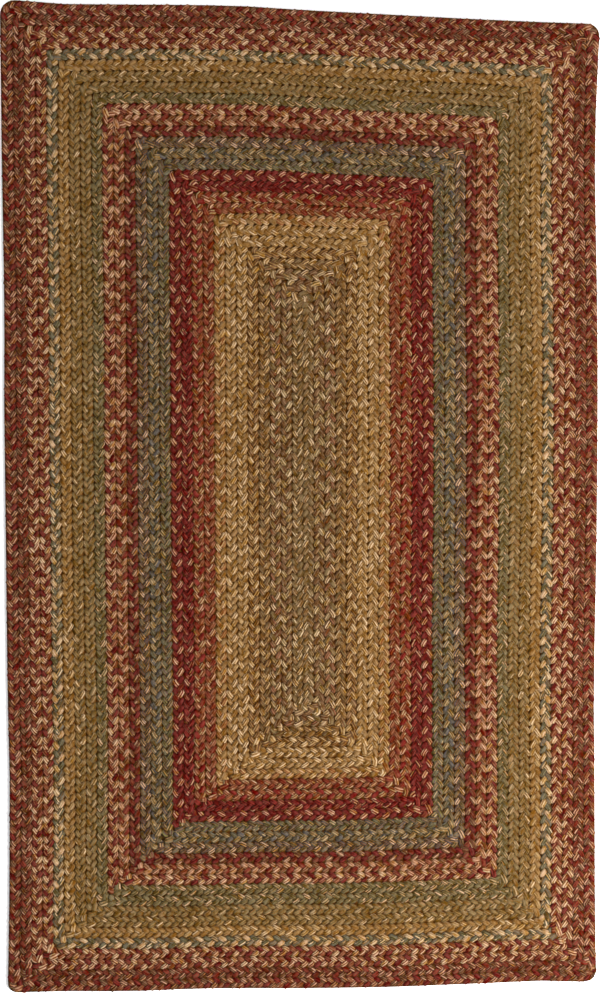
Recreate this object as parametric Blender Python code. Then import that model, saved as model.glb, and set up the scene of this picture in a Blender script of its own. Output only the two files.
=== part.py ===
"""Braided floor rug, about 3 ft by 5 ft, lying flat.

One long three-strand braid is laid round a straight middle seam and sewn edge to edge in a
rectangular spiral, so the whole rug is one solid. Its top rises in a rib for each lap of the
braid and falls to a groove at each seam. The underside is flat on the floor.

Metres, +Z up. X runs across the rug and Y along it, from the foot to the head. The origin is
on the floor under the middle of the rug's box. Seen from above, the braid is followed from its
outer end at the foot's right corner: along the foot, up the left side, along the head, down the
right side and then inside itself, lap after lap, to its inner end at the foot of the middle.
"""
import math
from collections import namedtuple

import bmesh
import bpy
import numpy as np

MM = 0.001

# Braid, laps and thickness
LAPS = 27
CREST = 10.0 * MM  # height of a rib
GROOVE = 6.8 * MM  # height of a seam between two ribs
EDGE_TOP = 5.0 * MM  # where the outer rib's round side turns down
EDGE_FOOT = 1.6 * MM  # where that side turns under
EDGE_UNDER = 2.2 * MM  # how far it turns under before it meets the floor
TURN_RADIUS = 6.0 * MM  # of a seam where the braid turns a corner inside the rug
SWELL_LAPS = 3  # a corner's swelling is gone this many laps in
ARC_STEPS = 3  # along each rounded corner
WELD = 0.05 * MM  # points closer than this are made one
CREASE = math.radians(50)  # edges sharper than this are not shaded smooth

# Middle seam, on which the laps close
MIDDLE_X = 4.3 * MM
MIDDLE_HEAD = 303.0 * MM
MIDDLE_FOOT = -323.2 * MM

# Corners of the outer edge if it were sharp. The braid bunches where it turns, so the edge
# swells by "across" past the side that it comes along, and by "along" past the next side.
Corner = namedtuple("Corner", "x y radius across along")
FOOT_RIGHT = Corner(455.3 * MM, -749.4 * MM, 18.6 * MM, 4.6 * MM, 2.3 * MM)
FOOT_LEFT = Corner(-449.9 * MM, -766.5 * MM, 14.0 * MM, 1.6 * MM, 2.3 * MM)
HEAD_LEFT = Corner(-462.3 * MM, 763.4 * MM, 21.7 * MM, 2.3 * MM, 6.2 * MM)
HEAD_RIGHT = Corner(458.4 * MM, 730.0 * MM, 18.6 * MM, 3.1 * MM, 5.4 * MM)

# How far each side of the hand-sewn edge bows out from a straight line between its sharp corners
LongSides = namedtuple("LongSides", "from_foot left right")
LONG_SIDES = (
    LongSides(0.05, 0.1 * MM, 1.3 * MM),
    LongSides(0.20, -3.3 * MM, 0.4 * MM),
    LongSides(0.30, -0.8 * MM, -1.4 * MM),
    LongSides(0.45, -0.2 * MM, 2.6 * MM),
    LongSides(0.60, 0.8 * MM, 3.9 * MM),
    LongSides(0.70, -1.0 * MM, 3.3 * MM),
    LongSides(0.85, 1.3 * MM, -1.4 * MM),
    LongSides(0.95, 1.7 * MM, 0.6 * MM),
)
ShortSides = namedtuple("ShortSides", "from_left head foot")
SHORT_SIDES = (
    ShortSides(0.08, 2.9 * MM, 0.8 * MM),
    ShortSides(0.20, 6.0 * MM, 3.5 * MM),
    ShortSides(0.32, 9.5 * MM, 0.9 * MM),
    ShortSides(0.41, 10.2 * MM, 2.0 * MM),
    ShortSides(0.50, 7.8 * MM, 3.9 * MM),
    ShortSides(0.65, 5.9 * MM, 4.8 * MM),
    ShortSides(0.80, 3.8 * MM, 2.2 * MM),
    ShortSides(0.93, 3.0 * MM, -0.6 * MM),
)

# A rib's section: how high it stands, as a share of the rib, across the braid's width
Rib = namedtuple("Rib", "across height")
RIB = (Rib(0.0, 0.0), Rib(0.22, 0.76), Rib(0.5, 1.0), Rib(0.78, 0.76))

# The four sides in the order in which the braid is followed: the way it runs, the way out of
# the rug, and (share of the side, bow) for each section
Side = namedtuple("Side", "run out sections")
SIDES = (
    Side((-1, 0), (0, -1), [(1 - s.from_left, s.foot) for s in reversed(SHORT_SIDES)]),
    Side((0, 1), (-1, 0), [(s.from_foot, s.left) for s in LONG_SIDES]),
    Side((1, 0), (0, 1), [(s.from_left, s.head) for s in SHORT_SIDES]),
    Side((0, -1), (1, 0), [(1 - s.from_foot, s.right) for s in reversed(LONG_SIDES)]),
)


def clear_scene():
    for obj in list(bpy.data.objects):
        bpy.data.objects.remove(obj, do_unlink=True)


def inwards(corner, middle_y, laps_x, laps_y):
    """A corner's place once so many laps have been laid inside it across and along the rug."""
    return np.array(
        [
            corner.x + (MIDDLE_X - corner.x) * laps_x / LAPS,
            corner.y + (middle_y - corner.y) * laps_y / LAPS,
        ]
    )


def seam_corners(lap):
    """The four corners of one turn of the seam: where it is sharp, where it is once swollen, and
    its radius. Turn 0 is the outer edge, and turn LAPS is the middle seam. At the foot's right
    corner the spiral steps in by a lap."""
    outer = (FOOT_RIGHT, FOOT_LEFT, HEAD_LEFT, HEAD_RIGHT)
    middles = (MIDDLE_FOOT, MIDDLE_FOOT, MIDDLE_HEAD, MIDDLE_HEAD)
    swell = max(0.0, 1 - lap / SWELL_LAPS)
    corners = []
    for i, (corner, middle_y) in enumerate(zip(outer, middles)):
        steps_in = max(lap - 1, 0) if i == 0 else lap
        sharp = inwards(corner, middle_y, steps_in, min(lap, LAPS))
        across = swell * corner.across * np.array(SIDES[i - 1].out)
        along = swell * corner.along * np.array(SIDES[i].out)
        radius = corner.radius if lap == 0 else TURN_RADIUS
        if lap > LAPS or (lap == LAPS and i > 0):
            radius = 0.0
        corners.append((sharp, sharp + across + along, radius))
    return corners


def seam_turn(lap):
    """Points of one turn of the seam: each corner's arc, then the sections of the side after it.
    The arcs are at the swollen corners, and the sides bow out from between the sharp ones."""
    corners = seam_corners(lap)
    fade = max(0.0, 1 - lap / LAPS)
    points = []
    for i, side in enumerate(SIDES):
        sharp, swollen, radius = corners[i]
        came, run, out = (np.array(v, float) for v in (SIDES[i - 1].run, side.run, side.out))
        for step in range(ARC_STEPS + 1):
            angle = math.pi / 2 * step / ARC_STEPS
            back, on = radius * (1 - math.sin(angle)), radius * (1 - math.cos(angle))
            points.append(swollen - came * back + run * on)
        start = sharp + run * radius
        following, _, following_radius = corners[i + 1] if i < 3 else seam_corners(lap + 1)[0]
        end = following - run * following_radius
        for share, bow in side.sections:
            points.append(start + (end - start) * share + out * bow * fade)
    return points


def braid_surface():
    """Vertices and faces of the ribbed top. Vertex station * len(RIB) + i lies across the braid
    from the seam at that station towards the same station one turn further in."""
    seam = np.array([p for lap in range(LAPS + 1) for p in seam_turn(lap)])
    stations = len(seam) // (LAPS + 1)
    inner_end = np.array([[MIDDLE_X, MIDDLE_FOOT]])
    seam = np.concatenate([seam, inner_end])
    lap_width = abs(MIDDLE_X - HEAD_LEFT.x) / LAPS

    verts = []
    last = LAPS * stations
    for i in range(last + 1):
        outer, inner = seam[i], seam[i + stations]
        width = min(1.0, np.linalg.norm(inner - outer) / lap_width)
        low = EDGE_TOP if i <= stations else GROOVE
        for rib in RIB:
            x, y = outer + (inner - outer) * rib.across
            seat = low + (GROOVE - low) * min(1.0, rib.across * 2)
            verts.append((x, y, seat + (CREST - seat) * rib.height * width))
    across = len(RIB)
    first_middle = len(verts)
    verts += [(x, y, GROOVE) for x, y in seam[last + 1 :]]

    def at(station, k):
        """The vertex k steps in from the seam at a station; past the last step is the next turn."""
        if k == across:
            station, k = station + stations, 0
        if station > last:
            return first_middle + station - last - 1
        return station * across + k

    faces = [
        (at(i, k), at(i + 1, k), at(i + 1, k + 1), at(i, k + 1))
        for i in range(last)
        for k in range(across)
    ]
    # the inner end is tucked down to the seam of the lap that passes below it
    end_section = [at(last, k) for k in range(across + 1)]
    foot_seam = [at(last + i, 0) for i in range(ARC_STEPS + 1 + len(SHORT_SIDES) + 1)]
    faces.append(tuple(end_section[:0:-1] + foot_seam[:-1]))
    # the rim runs once round the outer edge and back over the tapered outer end
    rim = [at(i, 0) for i in range(stations + 1)] + [at(0, k) for k in range(across - 1, 0, -1)]
    return verts, faces, rim


def close_under(verts, faces, rim):
    """Adds the outer rib's round side below the rim, and the flat underside."""
    edge = np.array([verts[i] for i in rim])
    ahead = np.roll(edge, -1, axis=0) - np.roll(edge, 1, axis=0)
    to_middle = np.stack([ahead[:, 1], -ahead[:, 0]], 1)
    to_middle /= np.linalg.norm(to_middle, axis=1, keepdims=True)
    rings = [rim]
    for height, under in ((EDGE_FOOT, 0.0), (0.0, EDGE_UNDER)):
        ring = [len(verts) + i for i in range(len(rim))]
        place = edge[:, :2] + to_middle * under
        verts += [(x, y, height) for x, y in place]
        rings.append(ring)
    for upper, lower in zip(rings, rings[1:]):
        for i in range(len(rim)):
            j = (i + 1) % len(rim)
            faces.append((upper[j], upper[i], lower[i], lower[j]))
    faces.append(tuple(rings[-1]))


def make_rug():
    verts, faces, rim = braid_surface()
    close_under(verts, faces, rim)
    low, high = np.min(verts, axis=0), np.max(verts, axis=0)
    centre = [(low[0] + high[0]) / 2, (low[1] + high[1]) / 2, 0.0]

    mesh = bpy.data.meshes.new("braided_rug")
    mesh.from_pydata([tuple(np.subtract(v, centre)) for v in verts], [], faces)
    bm = bmesh.new()
    bm.from_mesh(mesh)
    bmesh.ops.remove_doubles(bm, verts=bm.verts, dist=WELD)
    bmesh.ops.triangulate(bm, faces=bm.faces)
    bmesh.ops.recalc_face_normals(bm, faces=bm.faces)
    bm.to_mesh(mesh)
    bm.free()
    mesh.shade_smooth()
    mesh.set_sharp_from_angle(angle=CREASE)
    return bpy.data.objects.new("braided_rug", mesh)


def yarn_material():
    """Mixed rust, olive and tan yarn, seen from far enough to be one brown."""
    material = bpy.data.materials.new("braid_yarn")
    material.use_nodes = True
    shader = material.node_tree.nodes["Principled BSDF"]
    shader.inputs["Base Color"].default_value = (0.205, 0.098, 0.045, 1.0)
    shader.inputs["Roughness"].default_value = 0.95
    shader.inputs["Metallic"].default_value = 0.0
    return material


clear_scene()
collection = bpy.data.collections.new("braided_rug")
bpy.context.scene.collection.children.link(collection)
rug = make_rug()
rug.data.materials.append(yarn_material())
collection.objects.link(rug)
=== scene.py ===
"""Braided floor rug: one three-strand plait of yarn, laid in a rectangular spiral and sewn edge to
edge, in rounds of rust, gold, olive, cream and tan. Metres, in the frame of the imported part."""
import math

import bpy
import numpy as np
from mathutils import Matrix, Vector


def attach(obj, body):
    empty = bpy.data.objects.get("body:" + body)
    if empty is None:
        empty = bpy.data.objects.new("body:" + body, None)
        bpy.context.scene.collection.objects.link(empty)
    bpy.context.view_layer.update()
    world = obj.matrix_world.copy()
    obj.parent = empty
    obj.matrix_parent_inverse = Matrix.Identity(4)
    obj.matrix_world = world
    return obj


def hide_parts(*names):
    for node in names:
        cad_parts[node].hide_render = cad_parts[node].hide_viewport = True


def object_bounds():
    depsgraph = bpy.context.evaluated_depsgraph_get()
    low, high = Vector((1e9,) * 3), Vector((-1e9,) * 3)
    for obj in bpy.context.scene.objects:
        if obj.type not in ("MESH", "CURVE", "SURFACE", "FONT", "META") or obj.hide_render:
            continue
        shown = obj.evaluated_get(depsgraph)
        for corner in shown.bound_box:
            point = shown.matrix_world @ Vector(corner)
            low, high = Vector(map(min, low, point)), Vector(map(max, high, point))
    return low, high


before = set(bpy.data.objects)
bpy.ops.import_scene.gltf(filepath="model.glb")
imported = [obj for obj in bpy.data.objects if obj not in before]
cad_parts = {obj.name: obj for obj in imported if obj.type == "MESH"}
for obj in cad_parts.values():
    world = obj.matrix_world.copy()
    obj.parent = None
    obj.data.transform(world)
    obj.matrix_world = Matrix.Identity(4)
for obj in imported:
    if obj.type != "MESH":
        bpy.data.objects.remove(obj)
cad_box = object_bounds()

# ---- The spiral that the braid is laid in ----------------------------------------------------
# The maker lays the braid round a straight middle seam and sews each lap to the one inside it.
# It is followed here from its outer end at the foot's right corner, along the foot, up the left
# side, along the head, down the right side, and so on inwards for 27 laps.
MM = 0.001
LAPS = 27
MIDDLE_X = 4.3 * MM
MIDDLE_HEAD = 303.0 * MM
MIDDLE_FOOT = -323.2 * MM
TURN_RADIUS = 6.0 * MM  # of a seam where the braid turns a corner inside the rug
SWELL_LAPS = 3  # a corner's swelling is gone this many laps in
# foot right, foot left, head left, head right: x, y, radius, and how far the corner swells
# past the side that the braid comes along and past the next side
CORNERS = MM * np.array(
    [
        [455.3, -749.4, 18.6, 4.6, 2.3],
        [-449.9, -766.5, 14.0, 1.6, 2.3],
        [-462.3, 763.4, 21.7, 2.3, 6.2],
        [458.4, 730.0, 18.6, 3.1, 5.4],
    ]
)
# where along each side the hand-sewn edge bows out, and by how much
FOOT_SHARE = np.array([0.05, 0.20, 0.30, 0.45, 0.60, 0.70, 0.85, 0.95])
LEFT_SHARE = np.array([0.08, 0.20, 0.32, 0.41, 0.50, 0.65, 0.80, 0.93])
LEFT_BOW = MM * np.array([0.1, -3.3, -0.8, -0.2, 0.8, -1.0, 1.3, 1.7])
RIGHT_BOW = MM * np.array([1.3, 0.4, -1.4, 2.6, 3.9, 3.3, -1.4, 0.6])
HEAD_BOW = MM * np.array([2.9, 6.0, 9.5, 10.2, 7.8, 5.9, 3.8, 3.0])
FOOT_BOW = MM * np.array([0.8, 3.5, 0.9, 2.0, 3.9, 4.8, 2.2, -0.6])
# each side in turn: which way the braid runs, which way is out of the rug, and its bows
SIDES = [
    ((-1, 0), (0, -1), 1 - LEFT_SHARE[::-1], FOOT_BOW[::-1]),
    ((0, 1), (-1, 0), FOOT_SHARE, LEFT_BOW),
    ((1, 0), (0, 1), LEFT_SHARE, HEAD_BOW),
    ((0, -1), (1, 0), 1 - FOOT_SHARE[::-1], RIGHT_BOW[::-1]),
]
INTO_TURN = np.radians([0, 15, 30, 45])  # first half of a corner's arc
OUT_OF_TURN = np.radians([45, 60, 75, 90])
WHOLE_TURN = np.radians([0, 15, 30, 45, 60, 75, 90])
SIDE_POINTS = 60  # along a side, its two ends among them


def seam_corners():
    """Sharp corner points, swollen corner points and radii of seam turns 0 (outer edge) to LAPS
    (middle seam) and one more. Each sharp corner moves evenly to its end of the middle seam,
    except that the foot's right corner is one lap late across the rug. The swelling fades over
    the first laps."""
    lap = np.arange(LAPS + 2.0)[:, None, None]
    middle = np.array([[MIDDLE_X, y] for y in (MIDDLE_FOOT, MIDDLE_FOOT, MIDDLE_HEAD, MIDDLE_HEAD)])
    steps = np.tile(np.minimum(lap, LAPS), (1, 4, 2))
    steps[:, 0, 0] = np.maximum(lap[:, 0, 0] - 1, 0)
    sharp = CORNERS[:, :2] + (middle - CORNERS[:, :2]) * steps / LAPS
    out = np.array([side[1] for side in SIDES], float)
    swell = np.roll(out, 1, axis=0) * CORNERS[:, 3:4] + out * CORNERS[:, 4:5]
    radius = np.full((LAPS + 2, 4), TURN_RADIUS)
    radius[0] = CORNERS[:, 2]
    radius[LAPS, 1:] = radius[LAPS + 1] = 0
    return sharp, sharp + swell * np.maximum(0, 1 - lap / SWELL_LAPS), radius


def corner_arc(corner, radius, came, run, angles):
    """Quarter circle that rounds a corner, at angles from 0 (still on the side before) to 90."""
    back, on = 1 - np.sin(angles), 1 - np.cos(angles)
    return corner + radius * (on[:, None] * run - back[:, None] * came)


def seam_side(sharp, swollen, radii, lap, side):
    """Seam from the middle of one corner's arc to the middle of the next: half an arc, the side
    with its bows, which fade towards the middle of the rug, and half an arc. The side bows out
    from the line between the sharp corners, and straight pieces join it to the swollen arcs.
    The braid's outer end lies round the whole of its first corner."""
    came, run, out = (np.array(v, float) for v in (SIDES[side - 1][0], *SIDES[side][:2]))
    here = (lap, side)
    after = (lap, side + 1) if side < 3 else (lap + 1, 0)
    turn = np.array(SIDES[(side + 1) % 4][0], float)
    start = sharp[here] + run * radii[here]
    end = sharp[after] - run * radii[after]
    knot_share = np.r_[0, SIDES[side][2], 1]
    bow = np.r_[0, SIDES[side][3], 0] * max(0, 1 - lap / LAPS)
    knots = start + (end - start) * knot_share[:, None] + out * bow[:, None]
    knots[0] += swollen[here] - sharp[here]
    knots[-1] += swollen[after] - sharp[after]
    share = np.linspace(0, 1, SIDE_POINTS)[1:-1]
    first_arc = WHOLE_TURN if here == (0, 0) else OUT_OF_TURN
    return np.concatenate(
        [
            corner_arc(swollen[here], radii[here], came, run, first_arc),
            np.column_stack([np.interp(share, knot_share, knots[:, i]) for i in (0, 1)]),
            corner_arc(swollen[after], radii[after], run, turn, INTO_TURN),
        ]
    )


FAN = 30 * MM  # how far from a corner the plait begins to fan round it
# where the fan's rungs lie, from the corner (0) to the first square rung (1)
FAN_SHARES = np.array([0, 0.1, 0.2, 0.35, 0.5, 0.75])
STRAIGHT_RUNGS = 16


def ladder():
    """The braid as rungs from its outer seam to its inner seam. Rungs lie square to the straight
    sides. Near a corner they fan: both seams are shared out evenly between the last square rung
    and the corner's diagonal. Returns outer points, inner points, the length followed along the
    rungs' middles, and that length at each corner, four to a lap."""
    sharp, swollen, radii = seam_corners()
    outer_parts, inner_parts, corner_rungs, count = [], [], [], 0
    for lap in range(LAPS):
        for side in range(4):
            run = np.array(SIDES[side][0], float)
            seams = [seam_side(sharp, swollen, radii, lap + i, side) for i in (0, 1)]
            if lap == 0 and side == 0:  # at the outer end both seams go round the whole corner
                came = np.array(SIDES[3][0], float)
                arc = corner_arc(swollen[1, 0], radii[1, 0], came, run, INTO_TURN[:-1])
                seams[1] = np.concatenate([arc, seams[1]])
            first = sum(seam[0] @ run for seam in seams) / 2
            last = sum(seam[-1] @ run for seam in seams) / 2
            fan = min(FAN, (last - first) / 2)
            straight = np.linspace(first + fan, last - fan, STRAIGHT_RUNGS)
            rungs = []
            for seam in seams:
                along = seam @ run + np.arange(len(seam)) * 1e-9  # never two places the same
                length = np.r_[0, np.cumsum(np.linalg.norm(np.diff(seam, axis=0), axis=1))]
                square = np.interp(straight, along, length)
                fan_in = FAN_SHARES * square[0]
                fan_out = length[-1] - FAN_SHARES[::-1] * (length[-1] - square[-1])
                at = np.r_[fan_in, square, fan_out]
                rungs.append(np.stack([np.interp(at, length, seam[:, i]) for i in (0, 1)], 1))
            skip = 1 if count else 0  # a side's first rung is the last of the side before
            corner_rungs.append(max(count - 1, 0))
            outer_parts.append(rungs[0][skip:])
            inner_parts.append(rungs[1][skip:])
            count += len(rungs[0]) - skip
    outer, inner = np.concatenate(outer_parts), np.concatenate(inner_parts)
    middle = (outer + inner) / 2
    length = np.r_[0, np.cumsum(np.linalg.norm(np.diff(middle, axis=0), axis=1))]
    return outer, inner, length, length[corner_rungs]


rung_outer, rung_inner, rung_length, corner_length = ladder()
# the part's origin is under the middle of its box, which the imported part's corners give
outer_edge = np.concatenate([rung_outer[rung_length <= corner_length[4]], rung_outer[:1]])
edge_middle = (outer_edge.min(axis=0) + outer_edge.max(axis=0)) / 2
shift = np.array([(cad_box[0][i] + cad_box[1][i]) / 2 for i in (0, 1)]) - edge_middle
rung_outer = rung_outer + shift
rung_inner = rung_inner + shift

# ---- The braid, round by round ---------------------------------------------------------------
# A flat plait of three strands, 17 mm wide and 10 mm thick. Each strand is a bundle of twelve
# yarns. Where the colour changes at a corner, new strands are spliced to the ends of the old.
BRAID_WIDTH = 17.1 * MM
BRAID_LOW = 0.02 * MM
BRAID_MIDDLE = 5.0 * MM
BRAID_HIGH = 10.2 * MM
STUDIO = 2.46  # about how much light a white yarn would give back, where 1 is the screen's white


def dye(red, green, blue):
    """A dyed yarn's colour from how it looks in the bright studio light, in steps of 1/255: the
    screen's own curve is undone, and the result is divided by the light."""
    look = ((np.array([red, green, blue]) / 255 + 0.055) / 1.055) ** 2.4
    return tuple(float(c) for c in look / STUDIO)


WINE = dye(96, 24, 16)
DEEP = dye(116, 32, 20)
MAROON = dye(90, 38, 22)
RED = dye(132, 38, 22)
RUST = dye(120, 62, 32)
BRICK = dye(140, 88, 58)
ORANGE = dye(142, 80, 42)
PINK = dye(186, 139, 108)
PEACH = dye(198, 157, 122)
CREAM = dye(204, 172, 132)
WHEAT = dye(178, 144, 94)
SAND = dye(170, 139, 98)
HONEY = dye(150, 111, 62)
GOLD = dye(141, 107, 59)
TAN = dye(143, 109, 70)
KHAKI = dye(135, 109, 71)
TAUPE = dye(120, 92, 59)
BROWN = dye(103, 67, 38)
OLIVE = dye(116, 97, 57)
MOSS = dye(92, 80, 46)
LIME = dye(112, 102, 52)
SAGE = dye(108, 98, 68)
SLATE = dye(98, 92, 76)
DUSK = dye(80, 72, 72)
PLUM = dye(94, 68, 58)

# rounds, outermost first: the round's number, the length of one repeat of its plait in
# millimetres, then the main, the second and the light yarn of each strand
ROUNDS = [
    (1, 31, (DEEP, MAROON, RED), (TAUPE, MAROON, PINK), (BRICK, RUST, PINK)),
    (2, 31, (DEEP, BROWN, RED), (TAUPE, MAROON, PINK), (RUST, MAROON, PINK)),
    (3, 31, (DEEP, MAROON, RUST), (PEACH, RUST, CREAM), (BRICK, RUST, PEACH)),
    (4, 31, (DEEP, MAROON, BRICK), (PEACH, BRICK, CREAM), (BRICK, RUST, PEACH)),
    (5, 36, (SLATE, TAUPE, SAND), (CREAM, SAND, PEACH), (SAGE, SLATE, CREAM)),
    (6, 36, (GOLD, HONEY, TAN), (SAND, GOLD, WHEAT), (HONEY, GOLD, CREAM)),
    (7, 35, (GOLD, OLIVE, TAN), (KHAKI, GOLD, CREAM), (GOLD, OLIVE, KHAKI)),
    (8, 35, (OLIVE, GOLD, KHAKI), (OLIVE, KHAKI, SAND), (OLIVE, GOLD, TAN)),
    (9, 34, (OLIVE, SAGE, KHAKI), (SAGE, OLIVE, PEACH), (OLIVE, MOSS, SAND)),
    (10, 33, (DEEP, MAROON, BRICK), (PEACH, BRICK, CREAM), (BRICK, RUST, PINK)),
    (11, 33, (DEEP, RUST, BRICK), (PEACH, BRICK, PINK), (TAUPE, RUST, PINK)),
    (12, 33, (DEEP, WINE, MAROON), (MAROON, TAUPE, PINK), (BROWN, DEEP, RUST)),
    (13, 33, (BROWN, DUSK, TAUPE), (TAN, DUSK, PEACH), (TAUPE, SLATE, TAN)),
    (14, 34, (SLATE, MOSS, TAUPE), (DUSK, SLATE, SAND), (TAN, SAGE, SAND)),
    (15, 34, (SAGE, PLUM, KHAKI), (TAUPE, DUSK, LIME), (SAGE, SLATE, SAND)),
    (16, 34, (WINE, DEEP, MAROON), (WINE, DEEP, RUST), (PINK, DEEP, PEACH)),
    (17, 34, (DEEP, WINE, RED), (WINE, DEEP, BRICK), (DEEP, MAROON, PINK)),
    (18, 34, (DEEP, RED, RUST), (ORANGE, RUST, SAND), (BRICK, RUST, PINK)),
    (19, 34, (RUST, DEEP, ORANGE), (BRICK, RUST, SAND), (BRICK, RUST, PEACH)),
    (20, 35, (HONEY, GOLD, TAN), (CREAM, HONEY, PEACH), (HONEY, ORANGE, WHEAT)),
    (21, 35, (HONEY, GOLD, SAND), (CREAM, HONEY, CREAM), (HONEY, TAN, WHEAT)),
    (22, 35, (HONEY, GOLD, SAND), (CREAM, HONEY, WHEAT), (GOLD, TAN, CREAM)),
    (23, 35, (GOLD, BROWN, TAN), (WHEAT, HONEY, CREAM), (HONEY, BROWN, WHEAT)),
    (24, 35, (OLIVE, BROWN, TAN), (TAN, GOLD, CREAM), (GOLD, BROWN, WHEAT)),
    (25, 35, (TAUPE, BROWN, BRICK), (CREAM, BROWN, SAND), (OLIVE, TAUPE, SAND)),
    (26, 35, (TAUPE, BROWN, TAN), (SAND, OLIVE, CREAM), (BROWN, TAUPE, SAND)),
    (27, 35, (TAUPE, OLIVE, TAN), (TAN, TAUPE, CREAM), (TAUPE, OLIVE, CREAM)),
]
FOOT_LEFT_FROM = 10  # the first round whose colours begin at the foot's left corner


def round_ends(number):
    """Lengths along the braid where a round's colours begin and end. The first nine begin at the
    foot's right corner, and from the tenth on they begin at the foot's left corner."""
    corners = corner_length.reshape(LAPS, 4)
    start = corners[number - 1, int(number >= FOOT_LEFT_FROM)]
    if number == LAPS:
        return start, rung_length[-1]
    return start, corners[number, int(number + 1 >= FOOT_LEFT_FROM)]


def on_ladder(length, across):
    """Places in plan: the rungs at these lengths, each followed from the outer seam (0) to the
    inner seam (1). Also how wide the braid is there, as a share of its usual width."""
    ends = [
        np.stack([np.interp(length, rung_length, rung[:, i]) for i in (0, 1)], -1)
        for rung in (rung_outer, rung_inner)
    ]
    width = np.linalg.norm(ends[1] - ends[0], axis=-1) / BRAID_WIDTH
    return ends[0] + (ends[1] - ends[0]) * across[..., None], width


STEPS_A_REPEAT = 10
DRAWN = 0.15  # how far rings are drawn towards the turns, in radians of phase
LEAST_STEP = 0.1  # between an end and the ring next to it


def strand_phases(first, last):
    """Phases of a strand's rings: STEPS_A_REPEAT to a repeat, drawn together by a sine of twice
    the phase where the strand turns back at the braid's sides, and the two ends."""
    step = 2 * math.pi / STEPS_A_REPEAT
    even = step * np.arange(math.ceil(first / step), math.floor(last / step) + 1)
    drawn = even + DRAWN * np.sin(2 * even)
    inner = drawn[(drawn > first + LEAST_STEP) & (drawn < last - LEAST_STEP)]
    return np.r_[first, inner, last]


SWAY = 5.3 * MM  # how far a strand's middle goes to each side of the braid's middle
LIFT = 2.5 * MM  # and how far up and down
STRAND_WIDTH = 8.3 * MM
STRAND_HEIGHT = 5.0 * MM
WIDEST = 1.15  # times its usual width, where the braid has more room
STEPS_ROUND = 6
FIRST_STEP = 30  # degrees from the ring's side up to its first point
SQUARE = 0.4  # the ring's sides are upright at 0 and round at 1
SHOULDER = 0.35  # how far a ring's side points move up or down round it, in radians
# how much a ring narrows and grows where its strand folds back, and its side points more so
FOLD_NARROW, FOLD_TALL, FOLD_FULL = 0.06, 0.8, 0.5
# usual random change of a lobe's sway, its lift, its width as a share, and its place along the braid
UNEVEN = (0.35 * MM, 0.25 * MM, 0.08, 0.6 * MM)


def strand_tube(length, phase, rng):
    """Points of a strand, rings of STEPS_ROUND round its path, and the length along it.
    Across the braid its path is a sine of the phase, straightened by a tenth of the sine of three
    times it. In height it is a sine of twice the phase, so the strand lies on top while it goes
    out to either side. The ring is a rounded box square to the path. It is broader above where
    the strand is on top and broader below where it is underneath. Where the strand folds back it
    is narrower and taller, by the fourth power of the sine. Small random changes of sway, lift,
    width and place from lobe to lobe make it hand-made."""
    knots = np.arange(phase[0] / math.pi - 1, phase[-1] / math.pi + 2)
    more_sway, more_lift, more_width, moved_on = (
        np.interp(phase / math.pi, knots, rng.normal(0, spread, len(knots)))
        for spread in UNEVEN
    )
    sway = SWAY * (np.sin(phase) - 0.1 * np.sin(3 * phase))
    across = 0.5 + (sway + more_sway) / BRAID_WIDTH
    plan, width = on_ladder(length + moved_on, across)
    full = np.minimum(1, width)
    height = BRAID_MIDDLE + (LIFT * np.sin(2 * phase) + more_lift) * full
    path = np.column_stack([plan, height])
    ahead = np.gradient(path, axis=0)
    ahead /= np.linalg.norm(ahead, axis=1, keepdims=True)
    aside = np.column_stack([-ahead[:, 1], ahead[:, 0], np.zeros(len(path))])
    aside /= np.linalg.norm(aside, axis=1, keepdims=True)
    above = np.cross(ahead, aside)
    folded = np.sin(phase) ** 4
    wide = STRAND_WIDTH / 2 * full * (1 + more_width) * np.clip(width, 1, WIDEST)
    wide *= 1 - FOLD_NARROW * folded
    high = STRAND_HEIGHT / 2 * full * (1 + FOLD_TALL * folded)
    angle = np.radians(FIRST_STEP + 360 * np.arange(STEPS_ROUND) / STEPS_ROUND)
    angle = angle + SHOULDER * np.sin(2 * phase)[:, None] * np.cos(angle)
    sideways = np.sign(np.cos(angle)) * np.abs(np.cos(angle)) ** SQUARE
    beside = np.abs(np.cos(angle)) > 0.1  # every point but the ring's top and bottom
    upwards = np.sin(angle) * (1 + FOLD_FULL * folded[:, None] * beside)
    rings = path[:, None] + (
        (wide[:, None] * sideways)[..., None] * aside[:, None]
        + (high[:, None] * upwards)[..., None] * above[:, None]
    )
    rings[..., 2] = np.clip(rings[..., 2], BRAID_LOW, BRAID_HIGH)  # pressed flat on the floor
    run = np.r_[0, np.cumsum(np.linalg.norm(np.diff(path, axis=0), axis=1))]
    return rings, run


def tube_faces(rings, around):
    """Quads of a tube of rings, as corner numbers, facing outwards."""
    i, k = np.meshgrid(np.arange(rings - 1), np.arange(around), indexing="ij")
    after = (k + 1) % around
    return np.stack(
        [i * around + k, i * around + after, (i + 1) * around + after, (i + 1) * around + k], -1
    ).reshape(-1, 4)


# where the rows begin and how long they are, as shares of the unit square's side
ROWS_LEFT, ROWS_WIDTH = 0.004, 0.97
ROW_FOOT, ROW_FILL = 0.06, 0.88  # where the tube begins and how much it fills of a row's height
CAPS_AT, CAP_RADIUS = 0.992, 0.004
STRAND_GIRTH = 26 * MM


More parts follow.
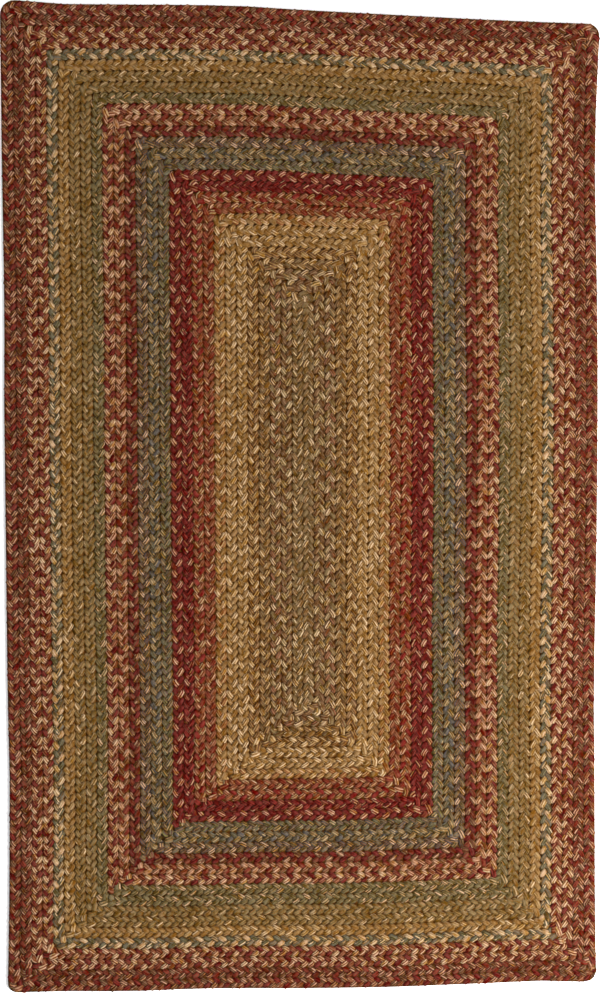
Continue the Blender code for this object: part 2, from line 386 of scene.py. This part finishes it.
def bake_rows(starts, ends, around, girth, caps):
    """A map without overlaps: the tube's lengths from starts to ends, laid one after another in
    rows of the unit square, each row as high as the girth at the scale that fills the square. The
    caps, given by their corner counts, get small circles at the right."""
    rows = math.ceil(math.sqrt(ends[-1] / girth))
    row_length = ends[-1] / rows * 1.001  # a little more, so that the last end is in the last row
    row = np.floor(starts / row_length)
    along = np.stack([starts, starts, ends, ends], 1) / row_length - row[:, None]
    x = ROWS_LEFT + ROWS_WIDTH * along
    i, k = np.divmod(np.arange(len(starts) * around), around)
    up = np.stack([k, k + 1, k + 1, k], 1) / around
    y = (row[i, None] + ROW_FOOT + ROW_FILL * up) / rows
    sides = np.stack([x[i], y], -1).reshape(-1, 2)
    circles = []
    for place, count in enumerate(caps):
        angle = 2 * math.pi * np.arange(count) / count
        middle = (CAPS_AT, (place + 0.5) / len(caps))
        circles.append(middle + CAP_RADIUS * np.stack([np.cos(angle), np.sin(angle)], 1))
    return np.concatenate([sides, *circles])


def new_mesh(name, verts, quads, caps, maps=(), tints=()):
    """A smooth mesh from arrays: quads, then caps of any size, with UV maps given corner by
    corner and colours given point by point."""
    mesh = bpy.data.meshes.new(name)
    corners = np.concatenate([quads.reshape(-1), *[np.asarray(c) for c in caps]])
    sizes = np.r_[np.full(len(quads), 4), [len(c) for c in caps]].astype(int)
    mesh.vertices.add(len(verts))
    mesh.vertices.foreach_set("co", np.ascontiguousarray(verts, np.float32).ravel())
    mesh.loops.add(len(corners))
    mesh.loops.foreach_set("vertex_index", corners.astype(np.int32))
    mesh.polygons.add(len(sizes))
    mesh.polygons.foreach_set("loop_start", (np.cumsum(sizes) - sizes).astype(np.int32))
    mesh.polygons.foreach_set("use_smooth", np.ones(len(sizes), bool))
    mesh.update(calc_edges=True)
    for title, places in maps:
        layer = mesh.uv_layers.new(name=title)
        layer.uv.foreach_set("vector", np.ascontiguousarray(places, np.float32).ravel())
    for title, values in tints:
        layer = mesh.color_attributes.new(title, "FLOAT_COLOR", "POINT")
        layer.data.foreach_set("color", np.ascontiguousarray(values, np.float32).ravel())
    if maps:
        mesh.uv_layers[maps[0][0]].active = True
        mesh.uv_layers[maps[0][0]].active_render = True
    mesh.validate()
    piece = bpy.data.objects.new(name, mesh)
    bpy.context.scene.collection.objects.link(piece)
    return piece


class Wire:
    """An output socket in a material. Sums and products of wires and numbers add Math nodes."""

    def __init__(self, socket):
        self.socket = socket

    def node(self, kind, settings, inputs, output=0):
        """Adds a node: its settings are set first, then the values or wires of its sockets."""
        tree = self.socket.id_data
        made = tree.nodes.new("ShaderNode" + kind)
        for name, value in settings.items():
            setattr(made, name, value)
        for name, value in inputs.items():
            if isinstance(value, Wire):
                tree.links.new(value.socket, made.inputs[name])
            else:
                made.inputs[name].default_value = value
        return Wire(made.outputs[output])

    def math(self, operation, *others):
        """A Math node on this wire and then the others."""
        return self.node("Math", {"operation": operation}, dict(enumerate((self, *others))))

    def __add__(self, other):
        return self.math("ADD", other)

    def __sub__(self, other):
        return self.math("SUBTRACT", other)

    def __rsub__(self, other):
        return self.node("Math", {"operation": "SUBTRACT"}, {0: other, 1: self})

    def __mul__(self, other):
        return self.math("MULTIPLY", other)

    def __gt__(self, other):
        return self.math("GREATER_THAN", other)

    __radd__, __rmul__ = __add__, __mul__

    def mix(self, low, high):
        """Colour between low, where this is 0, and high, where it is 1."""
        return self.node("Mix", {"data_type": "RGBA"}, {0: self, 6: low, 7: high}, 2)


def new_material(name, **plain):
    """A material with these values on its shader. Returns it, its shader, and its first wire."""
    material = bpy.data.materials.new(name)
    material.use_nodes = True
    shader = material.node_tree.nodes["Principled BSDF"]
    for socket, value in plain.items():
        shader.inputs[socket.replace("_", " ")].default_value = value
    return material, shader, Wire(shader.outputs[0])


def into(shader, socket, wire):
    """Leads a wire into one of the shader's sockets."""
    shader.id_data.links.new(wire.socket, shader.inputs[socket])


YARNS = 12
TWIST = 24.0  # yarns that the bundle turns by in a metre
# how often each thing comes and goes in a metre of strand
PATCHES = 55.0
FADES = 130.0
FIBRES = 300.0
PLIES = 380.0
PLY_LEAN = 1.3  # turns of the ply's twist across one yarn
PATCH_LEVEL = 1.42  # the higher, the fewer patches of the light colour
# a yarn's colour in its deepest painted shade and under the painted highlight on its palest
# crown: its own colour times the first three numbers, plus the others
SHADOW = ((0.84, 0.63, 0.22), (-0.009, -0.005, -0.001))
PAINTED_HIGHLIGHT = ((1.27, 1.30, 1.36), (0.014, 0.010, 0.009))
# the least that the painted shade goes down to
DARKEST = (0.004, 0.0015, 0.0006)
YARN_RELIEF = 0.6 * MM


def yarn_finish():
    """Twelve soft yarns side by side round each strand. Every other yarn is of the strand's second
    colour and a little darker. The rest are of its main colour, with patches of its light colour
    about as long as a lobe, in which the second yarns are a little nearer the main colour. Each
    yarn rises from painted shade at its sides to a painted highlight on its crown, with a fine ply
    twist, and the whole strand grows paler and darker along its run. The yarns halfway up the
    braid, where the strands cross, are darker than those at its top and bottom: painted shade."""
    material, shader, first = new_material("plaited_yarn", Specular_IOR_Level=0.0, Roughness=0.95)
    place = first.node("UVMap", {"uv_map": "yarn_run"}, {})
    run = place.node("SeparateXYZ", {}, {0: place}, 0)
    around = place.node("SeparateXYZ", {}, {0: place}, 1)
    main, second, light = (
        first.node("Attribute", {"attribute_name": name}, {}, 0)
        for name in ("main_yarn", "second_yarn", "light_yarn")
    )
    strand = first.node("Attribute", {"attribute_name": "main_yarn"}, {}, 3)
    yarn = around * YARNS + run * TWIST
    number = yarn.math("FLOOR").math("FLOORED_MODULO", YARNS)
    pair = (number * 0.5).math("FLOOR")
    other = number.math("MODULO", 2.0)
    middle = yarn.math("FRACT") - 0.5
    crown = 1 - 2 * middle.math("ABSOLUTE")

    def chance_of(which):
        """A random number for each whole number, another one on each strand."""
        spot = first.node("CombineXYZ", {}, {0: which, 1: strand * 91.0})
        return first.node("TexWhiteNoise", {"noise_dimensions": "2D"}, {0: spot})

    def waves(along, across, apart, detail):
        """A soft noise with about one wave to each step of along and of across. Apart is any
        number that makes it another one on each strand."""
        spot = first.node("CombineXYZ", {}, {0: along, 1: across, 2: strand * apart})
        return first.node("TexNoise", {}, {"Vector": spot, "Scale": 1.0, "Detail": detail})

    chance = chance_of(pair)
    tone = chance_of(number + 20.0)  # past the pairs' numbers, so that it isn't the same draw
    slow = waves(run * PATCHES, pair * 0.5, apart=53.0, detail=1.0)
    patch = 0.5 * chance + 2.2 * slow > PATCH_LEVEL
    colour = other.mix(patch.mix(main, light), (0.3 * patch).mix(second, main))

    fade = waves(run * FADES, number * 0.35, apart=37.0, detail=1.0)
    fibre = waves(run * FIBRES, yarn * 0.9, apart=11.0, detail=2.0)
    height = first.node("SeparateXYZ", {}, {0: first.node("TexCoord", {}, {}, "Object")}, 2)
    # how far from the braid's middle height, which sets the painted shade where the strands cross
    crest = (height - BRAID_MIDDLE).math("ABSOLUTE") * (1 / BRAID_MIDDLE)
    ply = ((run * PLIES + middle * PLY_LEAN) * (2 * math.pi)).math("SINE")
    bright = (  # 0 in the deepest painted shade, 1 on the palest painted highlight
        0.46
        + 0.5 * (crown - 0.5)  # painted shade between the yarns
        + 0.4 * (tone - 0.5)  # one yarn is paler than the next
        + 3.0 * (fade - 0.5)  # paler and darker stretches
        + 0.2 * (crest - 0.6)  # painted shade where the strands cross
        + 2.1 * (fibre - 0.5)  # fine streaks
        + 0.1 * ply
        + 0.2 * (0.5 - other)  # the second yarns are darker
    )
    # the yarn's colour under painted shade and under a painted highlight, which bright mixes between
    painted_shade_colour, painted_highlight_colour = (
        first.node("VectorMath", {"operation": "MULTIPLY_ADD"}, {0: colour, 1: share, 2: more})
        for share, more in (SHADOW, PAINTED_HIGHLIGHT)
    )
    painted_shade_colour = first.node("VectorMath", {"operation": "MAXIMUM"}, {0: painted_shade_colour, 1: DARKEST})
    into(shader, "Base Color", bright.mix(painted_shade_colour, painted_highlight_colour))
    relief = {"Strength": 1.0, "Distance": YARN_RELIEF, "Height": crown + 0.4 * fibre + 0.12 * ply}
    into(shader, "Normal", first.node("Bump", {}, relief))
    return material


yarn_material = yarn_finish()
# the plait's phase where each round begins, and at the inner end: a whole turn to a repeat
round_starts = np.r_[[round_ends(row[0])[0] for row in ROUNDS], rung_length[-1]]
repeats = np.diff(round_starts) / (np.array([row[1] for row in ROUNDS]) * MM)
phase_table = (round_starts, np.r_[0, np.cumsum(repeats)] * 2 * math.pi)
STRAND_STRETCH = 1.3  # about the length of a strand in each length of braid
STRANDS_APART = 40.0  # metres set between the runs of a round's strands, so no two are alike
STRAND_NUMBERS = 90  # more than there are strands


def braid_round(number, repeat, *strands):
    """One round of the braid as a piece: its three strands, a third of a repeat apart."""
    rng = np.random.default_rng(100 + number)
    start, end = round_ends(number)
    ends = np.interp((start, end), *phase_table)
    verts, quads, caps, runs, spans, tints = [], [], [], [], [], []
    for j, dyes in enumerate(strands):
        lead = 2 * math.pi * j / 3
        phase = strand_phases(*(ends + lead))
        rings, run = strand_tube(np.interp(phase - lead, *phase_table[::-1]), phase, rng)
        base = sum(len(v) for v in verts)
        points = rings.reshape(-1, 3)
        verts.append(points)
        faces = tube_faces(len(rings), STEPS_ROUND)
        quads.append(faces + base)
        caps.append(np.arange(STEPS_ROUND)[::-1] + base)
        caps.append(np.arange(STEPS_ROUND) + base + len(points) - STEPS_ROUND)
        i, k = np.divmod(np.arange(len(faces)), STEPS_ROUND)
        run_at = run + start * STRAND_STRETCH + STRANDS_APART * j
        along = np.stack([run_at[i], run_at[i], run_at[i + 1], run_at[i + 1]], 1)
        around = np.stack([k, k + 1, k + 1, k], 1) / STEPS_ROUND
        runs.append(np.stack([along, around], -1).reshape(-1, 2))
        spans.append(np.stack([run[:-1], run[1:]]) + (spans[-1][1, -1] if spans else 0))
        strand_number = (number * 3 + j) / STRAND_NUMBERS
        tints.append(np.tile([[*colour, strand_number] for colour in dyes], (len(points), 1, 1)))
    tints = np.concatenate(tints)
    yarn_map = np.concatenate([*runs, np.zeros((len(caps) * STEPS_ROUND, 2))])
    starts, stops = np.concatenate(spans, axis=1)
    bake_map = bake_rows(starts, stops, STEPS_ROUND, STRAND_GIRTH, [STEPS_ROUND] * len(caps))
    piece = new_mesh(
        f"braid_round_{number:02d}",
        np.concatenate(verts),
        np.concatenate(quads),
        caps,
        [("yarn_run", yarn_map), ("OFBake", bake_map)],
        [("main_yarn", tints[:, 0]), ("second_yarn", tints[:, 1]), ("light_yarn", tints[:, 2])],
    )
    piece.data.materials.append(yarn_material)
    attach(piece, "root")
    return piece


braid = [braid_round(*row) for row in ROUNDS]

# ---- The inside of the braid -----------------------------------------------------------------
# Between the crossings of the strands and at the sewn seams only shadowed yarn can be seen. A thin
# closed ribbon under the strands, laid as the braid is, stands for it, dark with painted shade.
# Each lap overlaps the next a little.
CORE = MM * np.array(  # section of the ribbon: across the braid from its outer seam, and height
    [
        [-0.3, 6.2],
        [3.5, 6.4],
        [8.5, 5.8],
        [13.6, 6.4],
        [17.4, 6.2],
        [13.6, 3.8],
        [8.5, 4.2],
        [3.5, 3.8],
    ]
)
CORE_EDGE = -1.0 * MM  # where the first point of the section lies along the rug's own edge
CORE_LOW = 3.0 * MM  # height that the ribbon narrows down to at the braid's tapered end
CORE_GIRTH = 36 * MM
# the ribbon's speckled colour, dark as painted shade
CORE_DARK, CORE_PALE = (0.040, 0.012, 0.002, 1), (0.078, 0.030, 0.005, 1)
SPECKLES = 420.0  # to a metre
SPECKLE_RELIEF = 0.5 * MM


def braid_core():
    """The ribbon's section carried along the rungs of the spiral, closed at both ends."""
    share = np.tile(CORE[:, 0] / BRAID_WIDTH, (len(rung_length), 1))
    share[rung_length <= corner_length[4], 0] = CORE_EDGE / BRAID_WIDTH
    width = np.linalg.norm(rung_inner - rung_outer, axis=1) / BRAID_WIDTH
    plan = rung_outer[:, None] + (rung_inner - rung_outer)[:, None] * share[..., None]
    height = CORE_LOW + (CORE[:, 1] - CORE_LOW) * np.minimum(1, width)[:, None]
    verts = np.concatenate([plan, height[..., None]], -1).reshape(-1, 3)
    around = len(CORE)
    faces = tube_faces(len(rung_outer), around)
    caps = [np.arange(around)[::-1], np.arange(around) + len(verts) - around]
    bake_map = bake_rows(rung_length[:-1], rung_length[1:], around, CORE_GIRTH, [around] * 2)
    return new_mesh("braid_core", verts, faces, caps, [("ribbon_run", bake_map), ("OFBake", bake_map)])


core = braid_core()
core_material, core_shader, first = new_material("shadowed_yarn", Specular_IOR_Level=0.0)
object_place = first.node("TexCoord", {}, {}, "Object")
speckle = first.node("TexNoise", {}, {"Vector": object_place, "Scale": SPECKLES, "Detail": 3.0})
into(core_shader, "Base Color", speckle.mix(CORE_DARK, CORE_PALE))
into(core_shader, "Normal", first.node("Bump", {}, {"Distance": SPECKLE_RELIEF, "Height": speckle}))
core.data.materials.append(core_material)
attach(core, "root")
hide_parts("braided_rug")

# ---- The floor -------------------------------------------------------------------------------
# A plain pale floor that the rug lies flat on: one square, 18 m wide, which fills the whole
# picture from above.
FLOOR = 9.0  # from the middle to each edge
floor_corners = FLOOR * np.array([[-1, -1, 0], [1, -1, 0], [1, 1, 0], [-1, 1, 0]])
floor = new_mesh("floor", floor_corners, np.array([[0, 1, 2, 3]]), [])
floor_material, floor_shader, first = new_material("pale_floor", Roughness=0.9)
floor_shader.inputs["Base Color"].default_value = (0.94, 0.94, 0.94, 1)
floor.data.materials.append(floor_material)

# ---- Light -----------------------------------------------------------------------------------
# Soft studio light: a lamp on the right beyond the foot, a larger and weaker one higher up on the
# right beyond the head, and pale light from all round.
for name, place, size, power in (
    ("key_light", (1.50, -1.15, 2.1), 1.2, 199.0),
    ("fill_light", (1.2, 2.3, 3.2), 3.0, 86.0),
):
    lamp = bpy.data.lights.new(name, "AREA")
    lamp.size = size
    lamp.energy = power
    holder = bpy.data.objects.new(name, lamp)
    holder.location = place
    aim = np.array(place) / np.linalg.norm(place)
    holder.rotation_euler = (math.acos(aim[2]), 0, math.atan2(aim[0], -aim[1]))
    bpy.context.scene.collection.objects.link(holder)
world = bpy.data.worlds.new("studio")
world.use_nodes = True
world.node_tree.nodes["Background"].inputs["Color"].default_value = (1, 1, 1, 1)
world.node_tree.nodes["Background"].inputs["Strength"].default_value = 0.86
bpy.context.scene.world = world
bpy.context.scene.view_settings.view_transform = "Standard"

# ---- The camera ------------------------------------------------------------------------------
# Straight above, as in the photograph, which is 600 by 993 pixels of 1.55 mm at the top of the
# rug. The rug's middle is a fraction of a pixel from the picture's.
PIXEL = 1.55 * MM
PICTURE_HEIGHT = 993 * PIXEL
DISTANCE = 4.2
RUG_TOP = 10 * MM
camera_data = bpy.data.cameras.new("camera")
camera_data.lens = camera_data.sensor_width * DISTANCE / PICTURE_HEIGHT
camera = bpy.data.objects.new("camera", camera_data)
camera.location = (shift[0] - 0.05 * PIXEL, shift[1] + 0.3 * PIXEL, DISTANCE + RUG_TOP)
bpy.context.scene.collection.objects.link(camera)
bpy.context.scene.camera = camera
